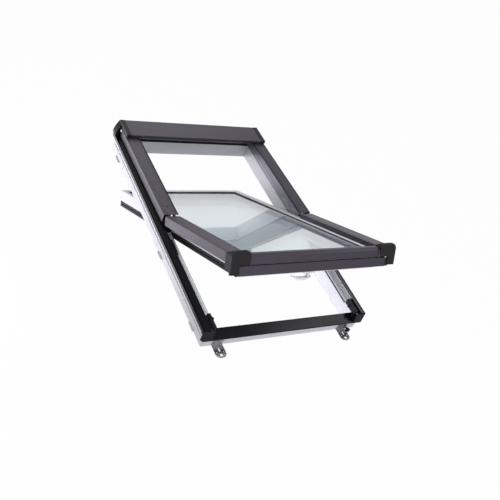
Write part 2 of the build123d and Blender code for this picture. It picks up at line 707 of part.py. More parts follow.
with BuildPart() as rim_seal:
    with BuildSketch(level(SASH, GLASS_TOP)):
        rect_ring(
            glass_edge, -glass_low_end + 5, glass_high - 5,
            glass_edge - RIM_SEAL, -glass_low_end + 5 + RIM_SEAL, glass_high - 5 - RIM_SEAL,
        )
    extrude(amount=1.5)
rim_seal.part.label = "rim_seal"
export_step(rim_seal.part, "parts/rim_seal.step")

bead_out = pocket_half
bead_low = sash_low_end - (sash_half - pocket_half)
bead_high = sash_top_end - (sash_half - pocket_half)
with BuildPart() as glazing_bead:
    with BuildSketch(level(SASH, GLASS_TOP)):
        rect_ring(bead_out, -bead_low, bead_high, glass_edge, -glass_low_end + 5, glass_high - 5)
    extrude(amount=SASH_CROWN - GLASS_TOP)
    bead_crown = glazing_bead.faces().sort_by(Axis(SASH.origin, SASH.z_dir))[-1]
    chamfer(bead_crown.inner_wires()[0].edges(), BEAD_CHAMFER)
glazing_bead.part.label = "glazing_bead"
export_step(glazing_bead.part, "parts/glazing_bead.step")

# Ribbed black seals along both sides of the sash
for side, sign in SIDES:
    seal_face = seal_recess + SASH_SEAL_PROUD
    mid_groove = (SASH_SEAL_TOP + SASH_BACK) / 2
    with BuildPart() as sash_seal:
        with BuildSketch(across(SASH, sash_top_end - 2)):
            outline([
                (sign * seal_recess, SASH_SEAL_TOP), (sign * (seal_face - 2), SASH_SEAL_TOP),
                (sign * seal_face, SASH_SEAL_TOP - 2), (sign * seal_face, mid_groove + 2),
                (sign * (seal_face - 3), mid_groove), (sign * seal_face, mid_groove - 2),
                (sign * seal_face, SASH_BACK + 2), (sign * (seal_face - 2), SASH_BACK),
                (sign * seal_recess, SASH_BACK),
            ])
        extrude(amount=sash_top_end + step_end - 4)
        with BuildSketch(along(SASH, sign * seal_recess)):
            with Locations((-rod_at, ROD_DEPTH)):
                Circle(ROD_R + FREE_GAP)
        extrude(amount=sign * SASH_SEAL_RECESS, mode=Mode.SUBTRACT)
    sash_seal.part.label = f"sash_seal_{side}"
    export_step(sash_seal.part, f"parts/sash_seal_{side}.step")

# Lower side covers: folded sheets that stand on the bead and the sash wall
for side, sign in SIDES:
    foot = SASH_CROWN + FIT_GAP
    rib_out = sash_half - 2
    rib_in = rib_out - COVER_SHEET
    with BuildPart() as side_cover_lower:
        with BuildSketch(across(SASH, -COVER_SPLIT)):
            outline([
                (sign * cover_in, foot), (sign * cover_in, 0), (sign * cover_out, 0),
                (sign * cover_out, -COVER_SKIRT), (sign * (cover_out - COVER_SHEET), -COVER_SKIRT),
                (sign * (cover_out - COVER_SHEET), -COVER_SHEET), (sign * rib_out, -COVER_SHEET),
                (sign * rib_out, foot), (sign * rib_in, foot), (sign * rib_in, -COVER_SHEET),
                (sign * (cover_in + COVER_SHEET), -COVER_SHEET), (sign * (cover_in + COVER_SHEET), foot),
            ])
            for groove in (groove_at - 8, cover_out - 12):
                with Locations((sign * groove, 0)):
                    Rectangle(COVER_GROOVE, 2 * COVER_GROOVE_DEPTH, mode=Mode.SUBTRACT)
        extrude(amount=lower_cover_end - COVER_SPLIT)
    side_cover_lower.part.label = f"side_cover_lower_{side}"
    export_step(side_cover_lower.part, f"parts/side_cover_lower_{side}.step")

# Bottom covers: two bands with a groove between them, seated on the sash's lower end
cover_half = corner_in - FREE_GAP
with BuildPart() as bottom_cover_upper:
    with BuildSketch(along(SASH, -cover_half)):
        outline([
            (-nose_back + 2, SASH_CROWN), (-nose_back, 0), (-nose + NOSE_ROUND, 0), (-nose, -NOSE_ROUND),
            (-nose, -UPPER_BAND), (-sash_low_end, -UPPER_BAND), (-sash_low_end, SASH_CROWN),
        ])
        cut_outline([
            (-nose_back, SASH_CROWN), (-nose_back - NOSE_SHEET, -NOSE_SHEET),
            (-nose + NOSE_ROUND, -NOSE_SHEET), (-nose + NOSE_SHEET, -NOSE_ROUND),
            (-nose + NOSE_SHEET, -UPPER_BAND + NOSE_SHEET), (-sash_low_end, -UPPER_BAND + NOSE_SHEET),
            (-sash_low_end, SASH_CROWN),
        ])
    extrude(amount=2 * cover_half)
bottom_cover_upper.part.label = "bottom_cover_upper"
export_step(bottom_cover_upper.part, "parts/bottom_cover_upper.step")

with BuildPart() as bottom_cover_lower:
    band_top = -UPPER_BAND - BAND_GROOVE
    with BuildSketch(along(SASH, -lower_band_half)):
        outline([
            (-sash_low_end, band_top), (-nose, band_top), (-nose, -LOWER_BAND + 2),
            (-nose + 2, -LOWER_BAND), (-nose + 5, -LOWER_BAND), (-nose + 5, -LOWER_BAND + NOSE_SHEET),
            (-nose + NOSE_SHEET, -LOWER_BAND + NOSE_SHEET + 1), (-nose + NOSE_SHEET, band_top - NOSE_SHEET),
            (-sash_low_end, band_top - NOSE_SHEET),
        ])
    extrude(amount=2 * lower_band_half)
bottom_cover_lower.part.label = "bottom_cover_lower"
export_step(bottom_cover_lower.part, "parts/bottom_cover_lower.step")

# Corner caps: thin moulded shells, crowned at the front, arched across, each with a post
cap_length = corner_front - lower_cover_end
for side, sign in SIDES:
    with BuildPart() as cap_core:
        with BuildSketch(along(SASH, sign * corner_in)):
            outline([
                (-lower_cover_end + 1, -CAP_WALL), (-corner_front + 12, CAP_RISE - CAP_WALL - 3),
                (-corner_front + CAP_WALL, CAP_RISE - CAP_WALL - 5), (-corner_front + CAP_WALL, -CAP_DROP - 1),
                (-lower_cover_end + 1, -CAP_DROP - 1),
            ])
        extrude(amount=sign * (corner_out - corner_in))
        with BuildSketch(across(SASH, -lower_cover_end + 2)):
            arch(
                sign, corner_in + CAP_WALL, corner_out - CAP_WALL, -CAP_DROP - 2, CAP_RISE - CAP_WALL,
                CAP_ROUND - CAP_WALL,
            )
        extrude(amount=cap_length + 4, mode=Mode.INTERSECT)
    with BuildPart() as corner_cap:
        with BuildSketch(along(SASH, sign * corner_in)):
            outline([
                (-lower_cover_end, 0), (-corner_front + 12, CAP_RISE - 1), (-corner_front + 6, CAP_RISE),
                (-corner_front, CAP_RISE - 6), (-corner_front, -CAP_DROP), (-corner_front + 10, -CAP_DROP),
                (-corner_front + 12, -CAP_SIDE_DROP), (-lower_cover_end, -CAP_SIDE_DROP),
            ])
        extrude(amount=sign * (corner_out - corner_in))
        with BuildSketch(across(SASH, -lower_cover_end + 1)):
            arch(sign, corner_in, corner_out, -CAP_DROP - 1, CAP_RISE, CAP_ROUND)
        extrude(amount=cap_length + 2, mode=Mode.INTERSECT)
        add(cap_core.part, mode=Mode.SUBTRACT)
        with BuildSketch(across(SASH, -corner_front + 6)):
            outline([
                (sign * (corner_in - 1), -UPPER_BAND), (sign * (corner_out - CAP_POST), -UPPER_BAND),
                (sign * (corner_out - CAP_POST - 4), -CAP_DROP - 1), (sign * (corner_in - 1), -CAP_DROP - 1),
            ])
        extrude(amount=8, mode=Mode.SUBTRACT)
        with BuildSketch(across(SASH, -lower_cover_end + 1)):
            with Locations((sign * corner_in, -CAP_DROP / 2 - 4)):
                Rectangle(2 * CAP_WALL + 1, CAP_DROP)
        extrude(amount=nose - lower_cover_end + 4, mode=Mode.SUBTRACT)
    corner_cap.part.label = f"corner_cap_{side}"
    export_step(corner_cap.part, f"parts/corner_cap_{side}.step")

# Pivot hinges: an ear on the sash, an ear on the frame's web and a pin through both
ear_mid = EAR_WIDTH / 2
for side, sign in SIDES:
    with BuildPart() as hinge_sash:
        with BuildSketch(along(SASH, sign * sash_half)):
            outline([
                (-ear_mid, -52), (-ear_mid, -22), (-KNUCKLE_R, -8), (-KNUCKLE_R, PIN_RISE),
                (KNUCKLE_R, PIN_RISE), (KNUCKLE_R, -8), (ear_mid, -22), (ear_mid, -52),
            ])
            with Locations((0, PIN_RISE)):
                Circle(KNUCKLE_R)
                Circle(PIN_R + FIT_GAP, mode=Mode.SUBTRACT)
        extrude(amount=sign * SASH_EAR)
    hinge_sash.part.label = f"hinge_sash_{side}"
    export_step(hinge_sash.part, f"parts/hinge_sash_{side}.step")

    with BuildPart() as hinge_frame:
        with BuildSketch(along(FRAME, sign * frame_ear_in)):
            outline([
                (-HINGE_CLEAR + 2, ledge_top), (-HINGE_CLEAR + 2, -46), (-KNUCKLE_R, -12),
                (-KNUCKLE_R, PIN_RISE), (KNUCKLE_R, PIN_RISE), (KNUCKLE_R, -12), (HINGE_CLEAR - 2, -46),
                (HINGE_CLEAR - 2, ledge_top),
            ])
            with Locations((0, PIN_RISE)):
                Circle(KNUCKLE_R)
                Circle(PIN_R + FIT_GAP, mode=Mode.SUBTRACT)
        extrude(amount=sign * FRAME_EAR)
        with BuildSketch(across(FRAME, HINGE_CLEAR - 2)):
            outline([
                (sign * frame_ear_in, ledge_top + 3), (sign * clip_out, ledge_top + 3),
                (sign * clip_out, web_top), (sign * web_in, web_top), (sign * web_in, ledge_top),
                (sign * frame_ear_in, ledge_top),
            ])
        extrude(amount=2 * (HINGE_CLEAR - 2))
    hinge_frame.part.label = f"hinge_frame_{side}"
    export_step(hinge_frame.part, f"parts/hinge_frame_{side}.step")

with BuildPart() as hinge_pins:
    for side, sign in SIDES:
        with BuildSketch(along(FRAME, sign * sash_half)):
            with Locations((0, PIN_RISE)):
                Circle(PIN_R)
        extrude(amount=sign * (frame_ear_out - sash_half))
        with BuildSketch(along(FRAME, sign * (frame_ear_out + FIT_GAP))):
            with Locations((0, PIN_RISE)):
                Circle(PIN_HEAD_R)
        extrude(amount=sign * PIN_HEAD)
        with BuildSketch(along(FRAME, sign * frame_ear_out)):
            with Locations((0, PIN_RISE)):
                Circle(PIN_R)
        extrude(amount=sign * FIT_GAP)
hinge_pins.part.label = "hinge_pins"
export_step(hinge_pins.part, "parts/hinge_pins.step")

# Keeps that take the rods, and the stay blocks further up the ledge
for side, sign in SIDES:
    with BuildPart() as keep:
        with BuildSketch(level(FRAME, web_top)):
            outline([
                (sign * (ledge_in + 3), -keep_from), (sign * keep_out, -keep_from),
                (sign * keep_out, -keep_to), (sign * (ledge_in + 3), -keep_to),
            ])
            with Locations((sign * (seal_in + FIT_GAP + KEEP_KNOB_R), -rod_at - 6)):
                Circle(KEEP_KNOB_R)
        extrude(amount=KEEP_TOP - web_top)
        with BuildSketch(along(FRAME, sign * seal_in)):
            with Locations((-rod_at, ROD_DEPTH)):
                Circle(ROD_R + FREE_GAP)
        extrude(amount=sign * (ROD_TRAVEL + 1), mode=Mode.SUBTRACT)
    keep.part.label = f"keep_{side}"
    export_step(keep.part, f"parts/keep_{side}.step")

    with BuildPart() as stay_block:
        with BuildSketch(across(FRAME, -STAY_TO)):
            outline([
                (sign * (ring_in + 3), ledge_top), (sign * clip_out, ledge_top),
                (sign * clip_out, LIP_CREST), (sign * (clip_out - 6), LIP_CREST),
                (sign * (ring_in + 3), ledge_top + 8),
            ])
        extrude(amount=STAY_FROM - STAY_TO)
    stay_block.part.label = f"stay_block_{side}"
    export_step(stay_block.part, f"parts/stay_block_{side}.step")

# Lock rods: round bars in the bottom rail, drawn in while the lock is open
rod_start = CASE_HALF + ROD_SET_BACK
for side, sign in SIDES:
    rod_in = sign * rod_start + HANDLE_X
    with BuildPart() as lock_rod:
        with BuildSketch(along(SASH, rod_in)):
            with Locations((-rod_at, ROD_DEPTH)):
                Circle(ROD_R)
        extrude(amount=sign * (sash_half - ROD_SET_BACK) - rod_in)
        chamfer(lock_rod.faces().sort_by(Axis.X)[-1 if sign > 0 else 0].edges(), 1.2)
    lock_rod.part.label = f"lock_rod_{side}"
    export_step(lock_rod.part, f"parts/lock_rod_{side}.step")

with BuildPart() as lock_case:
    with BuildSketch(level(SASH, SASH_BACK)):
        with Locations((HANDLE_X, -rod_at)):
            Rectangle(2 * CASE_HALF, CASE_HEIGHT)
            Circle(SPINDLE * 0.75, mode=Mode.SUBTRACT)
    extrude(amount=case_drop[1] - SASH_BACK)
lock_case.part.label = "lock_case"
export_step(lock_case.part, "parts/lock_case.step")

# Handle: an oval rosette, a neck with a square spindle and a curved flat lever
with BuildPart() as handle_rosette:
    with BuildSketch(level(SASH, SASH_BACK)):
        with Locations((HANDLE_X, -rod_at)):
            SlotOverall(ROSETTE_LENGTH, ROSETTE_WIDTH)
            Circle(NECK_R + FIT_GAP, mode=Mode.SUBTRACT)
    extrude(amount=-ROSETTE_THICK)
    room_face = handle_rosette.faces().sort_by(Axis(SASH.origin, SASH.z_dir))[0]
    chamfer(room_face.outer_wire().edges(), ROSETTE_CHAMFER)
handle_rosette.part.label = "handle_rosette"
export_step(handle_rosette.part, "parts/handle_rosette.step")

neck_end = SASH_BACK - NECK_LENGTH
with BuildPart() as handle_lever:
    with BuildSketch(level(SASH, SASH_BACK - 1)):
        with Locations((HANDLE_X, -rod_at)):
            Circle(NECK_R)
    extrude(amount=neck_end - SASH_BACK - 3)
    with BuildSketch(across(SASH, -rod_at + LEVER_WIDTH / 2)):
        with BuildLine():
            root = HANDLE_X + LEVER_WIDTH / 2
            tip = root - LEVER_LENGTH
            upper = ThreePointArc((root, neck_end), ((root + tip) / 2, neck_end - LEVER_BOW), (tip, neck_end + 4))
            lower = ThreePointArc(
                (root, neck_end - LEVER_THICK + 2), ((root + tip) / 2, neck_end - LEVER_BOW - LEVER_THICK),
                (tip + 3, neck_end + 4 - LEVER_THICK),
            )
            Line(upper @ 0, lower @ 0)
            Line(upper @ 1, lower @ 1)
        make_face()
    extrude(amount=LEVER_WIDTH)
handle_lever.part.label = "handle_lever"
export_step(handle_lever.part, "parts/handle_lever.step")

with BuildPart() as handle_spindle:
    with BuildSketch(level(SASH, SASH_BACK - 1)):
        with Locations((HANDLE_X, -rod_at)):
            Rectangle(SPINDLE, SPINDLE)
    extrude(amount=CASE_HEIGHT)
handle_spindle.part.label = "handle_spindle"
export_step(handle_spindle.part, "parts/handle_spindle.step")

# Fixing brackets: folded steel angles on the ends of the ring, each with a slotted foot
foot_plane = level(FRAME, -COVER_HEIGHT)
for end, slope, ring_end in (("bottom", -1, -ring_low_end), ("top", 1, ring_top_end)):
    for side, sign in SIDES:
        with BuildPart() as bracket:
            with BuildSketch(along(FRAME, sign * bracket_x - BRACKET_WIDTH / 2)):
                outline([
                    (ring_end, -COVER_HEIGHT), (ring_end + slope * BRACKET_FOOT, -COVER_HEIGHT),
                    (ring_end + slope * BRACKET_FOOT, -COVER_HEIGHT + BRACKET_THICK),
                    (ring_end + slope * BRACKET_THICK, -COVER_HEIGHT + BRACKET_THICK),
                    (ring_end + slope * BRACKET_THICK, -COVER_HEIGHT + BRACKET_LEG),
                    (ring_end, -COVER_HEIGHT + BRACKET_LEG),
                ])
            extrude(amount=BRACKET_WIDTH)
            corners = bracket.edges().filter_by(Axis.Z).group_by(Axis.Y)[0 if slope < 0 else -1]
            fillet(corners, BRACKET_WIDTH / 2 - 4)
            with BuildSketch(foot_plane):
                with Locations((sign * bracket_x, ring_end + slope * FOOT_SLOT_AT)):
                    SlotOverall(FOOT_SLOT_LENGTH, FOOT_SLOT_WIDTH, rotation=90)
                for hole_side in (-FOOT_HOLE_SIDE, FOOT_HOLE_SIDE):
                    with Locations((sign * bracket_x + hole_side, ring_end + slope * FOOT_HOLE_AT)):
                        Circle(FOOT_HOLE_R)
                with Locations((sign * bracket_x, ring_end + slope * FOOT_WINDOW_AT)):
                    Circle(FOOT_WINDOW_R)
            extrude(amount=BRACKET_THICK, mode=Mode.SUBTRACT)
            with BuildSketch(across(FRAME, ring_end)):
                for hole_side in (-LEG_HOLE_SIDE, LEG_HOLE_SIDE):
                    with Locations((sign * bracket_x + hole_side, -COVER_HEIGHT + BRACKET_LEG / 2 + 2)):
                        Circle(SCREW_R + FIT_GAP)
            extrude(amount=-slope * BRACKET_THICK, mode=Mode.SUBTRACT)
        bracket.part.label = f"bracket_{end}_{side}"
        export_step(bracket.part, f"parts/bracket_{end}_{side}.step")

with BuildPart() as bracket_screws:
    for slope, ring_end in ((-1, -ring_low_end), (1, ring_top_end)):
        for sign in (-1, 1):
            for hole_side in (-LEG_HOLE_SIDE, LEG_HOLE_SIDE):
                place = (sign * bracket_x + hole_side, -COVER_HEIGHT + BRACKET_LEG / 2 + 2)
                with BuildSketch(across(FRAME, ring_end)):
                    with Locations(place):
                        Circle(SCREW_R)
                extrude(amount=-slope * BRACKET_THICK)
                with BuildSketch(across(FRAME, ring_end + slope * BRACKET_THICK)):
                    with Locations(place):
                        RegularPolygon(SCREW_HEAD_R, 6)
                extrude(amount=-slope * SCREW_HEAD)
bracket_screws.part.label = "bracket_screws"
export_step(bracket_screws.part, "parts/bracket_screws.step")

# Levelling cam beside the lower right bracket
cam_x = bracket_x + BRACKET_WIDTH / 2 + FREE_GAP + CAM_R
with BuildPart() as level_cam:
    with BuildSketch(foot_plane):
        with Locations((cam_x, -ring_low_end - 14)):
            Circle(CAM_R)
            Circle(CAM_BORE_R, mode=Mode.SUBTRACT)
    extrude(amount=CAM_R)
    with BuildSketch(foot_plane):
        with Locations((cam_x, -ring_low_end - 3)):
            Rectangle(8, 6)
    extrude(amount=5)
level_cam.part.label = "level_cam"
export_step(level_cam.part, "parts/level_cam.step")

# Small clips along the room-side edges of the ring's sides
with BuildPart() as side_clips:
    for side, sign in SIDES:
        for place in SIDE_CLIP_PLACES:
            with BuildSketch(across(FRAME, place + SIDE_CLIP_LENGTH / 2)):
                outline([
                    (sign * ring_out, -COVER_HEIGHT), (sign * (ring_out + 5), -COVER_HEIGHT),
                    (sign * (ring_out + 5), -COVER_HEIGHT + 4), (sign * ring_out, -COVER_HEIGHT + 10),
                ])
            extrude(amount=SIDE_CLIP_LENGTH)
side_clips.part.label = "side_clips"
export_step(side_clips.part, "parts/side_clips.step")
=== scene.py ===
import json
from math import radians

import bmesh
import bpy
from mathutils import Matrix, Vector


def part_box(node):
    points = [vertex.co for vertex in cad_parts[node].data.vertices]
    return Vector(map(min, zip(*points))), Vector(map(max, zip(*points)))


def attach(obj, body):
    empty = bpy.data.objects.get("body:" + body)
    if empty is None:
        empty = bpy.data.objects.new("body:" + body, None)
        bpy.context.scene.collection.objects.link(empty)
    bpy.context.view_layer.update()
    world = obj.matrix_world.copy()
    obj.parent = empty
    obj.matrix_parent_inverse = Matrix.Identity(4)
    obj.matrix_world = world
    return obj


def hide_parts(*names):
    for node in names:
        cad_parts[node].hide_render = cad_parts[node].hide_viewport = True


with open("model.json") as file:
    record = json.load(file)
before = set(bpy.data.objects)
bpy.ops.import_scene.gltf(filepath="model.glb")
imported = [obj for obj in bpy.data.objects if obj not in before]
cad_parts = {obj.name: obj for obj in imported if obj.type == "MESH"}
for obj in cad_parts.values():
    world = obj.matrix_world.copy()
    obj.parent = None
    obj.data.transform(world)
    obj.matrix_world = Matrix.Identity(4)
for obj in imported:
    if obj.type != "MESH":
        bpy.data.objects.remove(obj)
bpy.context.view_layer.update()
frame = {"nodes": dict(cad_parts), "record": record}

MM = 0.001

# Places in the row frame, in metres
PIVOT = Vector((0.0, -0.040, 0.159))
PIN_RISE = 0.002
SASH_OPEN = radians(29.74)
SIDES = (("left", -1), ("right", 1))

# Camera, fitted to the photograph's straight edges
CAMERA_PLACE = Vector((-1.5921, -1.9186, 1.9780))
CAMERA_RIGHT = Vector((0.84853, -0.39262, 0.35474))
CAMERA_UP = Vector((0.04264, 0.71896, 0.69374))
SENSOR = 36.0
FOCAL_PIXELS = 701.1
PHOTO_PIXELS = 500.0
CAMERA_REACH = 60.0

# Stage, in metres, and how far it shows as plain white
FLOOR_HEIGHT = -1.85
FLOOR_HALF = 14.0
FLOOR_GLOW = 0.97
WHITE = (1.0, 1.0, 1.0)
SIDE_TINT = (0.94, 0.92, 1.0)
GLINT_TINT = (0.93, 0.92, 1.0)

# Limits and widths of the edge rounds, in metres, square metres and radians
MERGE_REACH = 0.00002
FLAT_ANGLE = radians(1.0)
SHARP_ANGLE = radians(28)
FOLD_ANGLE = radians(40)
FOLD_ROUND = 0.0028
FOLD_REACH = 0.0003
FOLD_LENGTH = 0.2
FOLD_AREA = 0.001

# Small parts, in millimetres and radians. Places are from the pivot line, heights from the covers' plane.
COVER_FALL = radians(1.5)
COVER_IN = 307.0
COVER_START = 7.0
COVER_END = 590.0
SEAL_OVERHANG = 0.4
SEAL_WIDTH = 6.0
SEAL_HEIGHT = 0.7
SEAL_ROUND = 0.25
RIB_START = 205.0
RIB_PITCH = 5.0
RIB_COUNT = 54
RIB_SPAN = 0.6
RIB_WIDTH = 2.2
RIB_RISE = 0.15
RIB_SLANT = radians(32)
LEG_SHEET = 0.8
LEG_SHORT = 75.0
LEG_FROM = 200.0
LEG_DROP = 1.0
LEG_ROUND = 0.2
TAIL_FROM = 340.0
TAIL_TO = 352.0
TAIL_LOW = -78.0
TAIL_HIGH = -43.0
NOSE_FRONT = 562.0
NOSE_SHEET = 2.0
TAIL_ROUND = 0.3
GASKET_INSET = 0.4
GASKET_WIDTH = 3.0
GASKET_RISE = 4.5

# Scales, shares and levels inside the shared surface effects
BROAD_SCALE = 0.12
BROAD_SHARE = 0.3
FINE_SHARE = 0.7
FLECK_LEVEL = 0.45
LINE_LEVEL = 0.5
SPECK_SCALE = 40.0
SPECK_FLOOR = 0.5
BRUSHED_DROP = 0.08

# The width in millimetres of the edge round on each node that a rounded copy stands for
EDGE_ROUNDS = {
    "frame_profile": 1.2, "edge_profile_left": 0.8, "edge_profile_right": 0.8, "edge_profile_top": 0.8,
    "sill_profile": 1.0, "sill_corner_left": 1.5, "sill_corner_right": 1.5, "side_cover_upper_left": 0.5,
    "side_cover_upper_right": 0.5, "side_cover_lower_left": 0.7, "side_cover_lower_right": 0.7, "hood": 0.7,
    "hood_cap_left": 2.0, "hood_cap_right": 2.0, "sash_profile": 1.2, "bottom_cover_upper": 0.7,
    "bottom_cover_lower": 0.7, "corner_cap_left": 2.4, "corner_cap_right": 2.4, "keep_left": 1.0,
    "keep_right": 1.0, "stay_block_left": 1.0, "stay_block_right": 1.0, "handle_lever": 2.2,
}

nodes = frame["nodes"]
bodies = frame["record"]["behaviour"]["bodies"]
body_of = {node: body for body, members in bodies.items() for node in members}
record_slots = {entry["node"]: entry["material_slot"] for entry in frame["record"]["subparts"]}


def frame_point(x, y, z):
    """A point given from the pivot line and the covers' plane, in millimetres, in the row frame."""
    return Vector((x * MM, PIVOT.y + y * MM, PIVOT.z - PIN_RISE + z * MM))


def sash_turn():
    """The turn that takes the closed sash to its open rest pose."""
    return Matrix.Translation(PIVOT) @ Matrix.Rotation(-SASH_OPEN, 4, "X") @ Matrix.Translation(-PIVOT)


# Effects that several materials share

def new_group(name, inputs, outputs):
    """A shader node group with float inputs, each with a default, and float outputs."""
    group = bpy.data.node_groups.new(name, "ShaderNodeTree")
    for label, default in inputs:
        socket = group.interface.new_socket(label, in_out="INPUT", socket_type="NodeSocketFloat")
        socket.default_value = default
    for label in outputs:
        group.interface.new_socket(label, in_out="OUTPUT", socket_type="NodeSocketFloat")
    entry = group.nodes.new("NodeGroupInput")
    leave = group.nodes.new("NodeGroupOutput")
    return group, entry, leave


def math_node(tree, operation, first, second):
    """A math node in a tree; each operand is a socket or a number."""
    node = tree.nodes.new("ShaderNodeMath")
    node.operation = operation
    for socket, value in zip(node.inputs, (first, second)):
        if isinstance(value, (int, float)):
            socket.default_value = value
        else:
            tree.links.new(value, socket)
    return node.outputs[0]


def noise_node(tree, vector, scale, detail, roughness=0.5):
    """A noise texture; scale is a socket or a number."""
    node = tree.nodes.new("ShaderNodeTexNoise")
    tree.links.new(vector, node.inputs["Vector"])
    if isinstance(scale, (int, float)):
        node.inputs["Scale"].default_value = scale
    else:
        tree.links.new(scale, node.inputs["Scale"])
    node.inputs["Detail"].default_value = detail
    node.inputs["Roughness"].default_value = roughness
    return node.outputs["Fac"]


def make_grain():
    """Fine moulding grain: a height and a mask of small flecks."""
    group, entry, leave = new_group("moulding_grain", [("Scale", 900.0), ("Fleck", 0.5)], ["Height", "Mask"])
    place = group.nodes.new("ShaderNodeTexCoord")
    fine = noise_node(group, place.outputs["Object"], entry.outputs["Scale"], 3.0, 0.6)
    broad_scale = math_node(group, "MULTIPLY", entry.outputs["Scale"], BROAD_SCALE)
    broad = noise_node(group, place.outputs["Object"], broad_scale, 2.0)
    fine_part = math_node(group, "MULTIPLY", fine, FINE_SHARE)
    broad_part = math_node(group, "MULTIPLY", broad, BROAD_SHARE)
    height = math_node(group, "ADD", fine_part, broad_part)
    flecks = math_node(group, "SUBTRACT", broad, FLECK_LEVEL)
    mask = math_node(group, "MULTIPLY", flecks, entry.outputs["Fleck"])
    group.links.new(height, leave.inputs["Height"])
    group.links.new(mask, leave.inputs["Mask"])
    return group


def make_drawn_lines():
    """Faint lines along a drawn or rolled profile, stretched by three scales."""
    group, entry, leave = new_group(
        "drawn_lines", [("Across", 600.0), ("Along", 6.0), ("Height scale", 600.0)], ["Height", "Mask"]
    )
    place = group.nodes.new("ShaderNodeTexCoord")
    split = group.nodes.new("ShaderNodeSeparateXYZ")
    join = group.nodes.new("ShaderNodeCombineXYZ")
    group.links.new(place.outputs["Object"], split.inputs[0])
    for axis, name in enumerate(("Across", "Along", "Height scale")):
        stretched = math_node(group, "MULTIPLY", split.outputs[axis], entry.outputs[name])
        group.links.new(stretched, join.inputs[axis])
    lines = noise_node(group, join.outputs[0], 1.0, 3.0, 0.65)
    group.links.new(lines, leave.inputs["Height"])
    group.links.new(math_node(group, "SUBTRACT", lines, LINE_LEVEL), leave.inputs["Mask"])
    return group


def make_dust():
    """A soft film of dust: broad clouds broken by finer specks."""
    group, entry, leave = new_group("dust_film", [("Scale", 7.0), ("Amount", 0.5)], ["Mask"])
    place = group.nodes.new("ShaderNodeTexCoord")
    clouds = noise_node(group, place.outputs["Object"], entry.outputs["Scale"], 5.0, 0.55)
    speck_scale = math_node(group, "MULTIPLY", entry.outputs["Scale"], SPECK_SCALE)
    specks = noise_node(group, place.outputs["Object"], speck_scale, 2.0)
    both = math_node(group, "MULTIPLY", clouds, math_node(group, "ADD", specks, SPECK_FLOOR))
    scaled = math_node(group, "MULTIPLY", both, entry.outputs["Amount"])
    group.links.new(scaled, leave.inputs["Mask"])
    return group


GRAIN = make_grain()
LINES = make_drawn_lines()
DUST = make_dust()


def place_group(material, group, **values):
    """A shared effect placed in a material with its own values."""
    node = material.node_tree.nodes.new("ShaderNodeGroup")
    node.node_tree = group
    for label, value in values.items():
        node.inputs[label.replace("_", " ")].default_value = value
    return node


def new_material(name, roughness, metallic=0.0, specular=0.5, coat=0.0, coat_roughness=0.1):
    """A material with one principled shader, whose plain values are set on its own sockets."""
    material = bpy.data.materials.new(name)
    material.use_nodes = True
    shader = material.node_tree.nodes["Principled BSDF"]
    shader.inputs["Roughness"].default_value = roughness
    shader.inputs["Metallic"].default_value = metallic
    shader.inputs["Specular IOR Level"].default_value = specular
    shader.inputs["Coat Weight"].default_value = coat
    shader.inputs["Coat Roughness"].default_value = coat_roughness
    return material, shader


def vary_colour(material, shader, mask, low, high):
    """Base colour that goes from low to high with a mask."""
    ramp = material.node_tree.nodes.new("ShaderNodeMix")
    ramp.data_type = "RGBA"
    ramp.inputs[6].default_value = (*low, 1.0)
    ramp.inputs[7].default_value = (*high, 1.0)
    material.node_tree.links.new(mask, ramp.inputs[0])
    material.node_tree.links.new(ramp.outputs[2], shader.inputs["Base Color"])


def vary_roughness(material, shader, mask, base, spread):
    """Roughness that moves about its base by a spread with a mask."""
    tree = material.node_tree
    value = math_node(tree, "ADD", math_node(tree, "MULTIPLY", mask, spread), base)
    tree.links.new(value, shader.inputs["Roughness"])


def add_bump(material, shader, height, strength, distance):
    """A bump from a height, on the shader's normal."""
    bump = material.node_tree.nodes.new("ShaderNodeBump")
    bump.inputs["Strength"].default_value = strength
    bump.inputs["Distance"].default_value = distance
    material.node_tree.links.new(height, bump.inputs["Height"])
    material.node_tree.links.new(bump.outputs["Normal"], shader.inputs["Normal"])


# Finishes of this window

def white_plastic():
    """Smooth white extrusion: faint drawn lines and a thin film of dust."""
    material, shader = new_material("white_plastic", 0.3, specular=0.5)
    dust = place_group(material, DUST, Scale=6.0, Amount=0.5)
    lines = place_group(material, LINES, Across=420.0, Along=3.0, Height_scale=420.0)
    vary_colour(material, shader, dust.outputs["Mask"], low=(0.66, 0.655, 0.69), high=(0.57, 0.565, 0.605))
    vary_roughness(material, shader, dust.outputs["Mask"], base=0.26, spread=0.25)
    add_bump(material, shader, lines.outputs["Height"], strength=0.06, distance=0.0004)
    return material


def cover_metal():
    """Anthracite coated sheet: fine orange peel, satin, with a little dust."""
    material, shader = new_material("cover_metal", 0.4, metallic=0.35, specular=0.3)
    dust = place_group(material, DUST, Scale=5.0, Amount=0.55)
    peel = place_group(material, GRAIN, Scale=1400.0, Fleck=0.4)
    vary_colour(material, shader, dust.outputs["Mask"], low=(0.031, 0.026, 0.038), high=(0.052, 0.044, 0.063))
    vary_roughness(material, shader, dust.outputs["Mask"], base=0.36, spread=0.2)
    add_bump(material, shader, peel.outputs["Height"], strength=0.12, distance=0.0003)
    return material


def black_profile():
    """Near-black glossy coated extrusion."""
    material, shader = new_material("black_profile", 0.22, specular=0.10)
    dust = place_group(material, DUST, Scale=9.0, Amount=0.4)
    lines = place_group(material, LINES, Across=500.0, Along=4.0, Height_scale=500.0)
    vary_colour(material, shader, dust.outputs["Mask"], low=(0.002, 0.002, 0.004), high=(0.007, 0.007, 0.010))
    vary_roughness(material, shader, dust.outputs["Mask"], base=0.16, spread=0.25)
    add_bump(material, shader, lines.outputs["Height"], strength=0.08, distance=0.0003)
    return material


